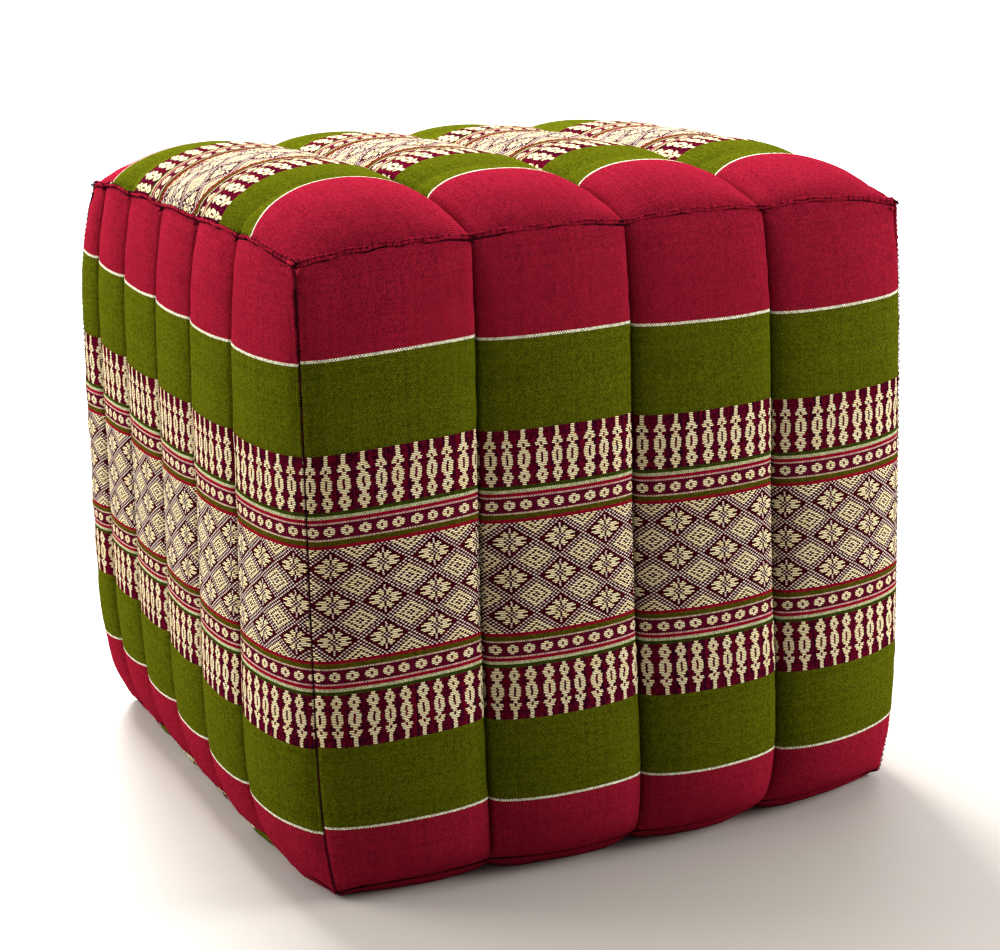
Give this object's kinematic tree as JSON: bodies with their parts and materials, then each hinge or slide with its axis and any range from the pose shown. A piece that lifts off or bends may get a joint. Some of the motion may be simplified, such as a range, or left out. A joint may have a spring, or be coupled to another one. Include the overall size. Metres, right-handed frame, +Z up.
{
  "type": "cube cushion",
  "caption": "Firmly stuffed cube floor cushion of banded woven cloth, with sewn channels on every face and raised overlocked edge seams, used as a low seat or footrest.",
  "frame": {"origin": "middle of the footprint, on the surface that the cushion stands on", "axes": "+Z up, front face towards -Y, the channels of the top run along Y"},
  "size_m": [0.4262, 0.4526, 0.402],
  "materials": {
    "cloth": "hand-woven cotton in red, green and maroon bands with raised cream figures, matt with a slight sheen",
    "thread": "dark overlocking thread over folded cloth edges, matt and a little frayed"
  },
  "bodies": {
    "root": {"cushion": "cloth", "seam_top_front": "thread", "seam_top_right": "thread", "seam_top_back": "thread", "seam_top_left": "thread", "seam_bottom_front": "thread", "seam_bottom_right": "thread", "seam_bottom_back": "thread", "seam_bottom_left": "thread", "seam_front_right": "thread", "seam_right_back": "thread", "seam_back_left": "thread", "seam_left_front": "thread"}
  },
  "joints": []
}
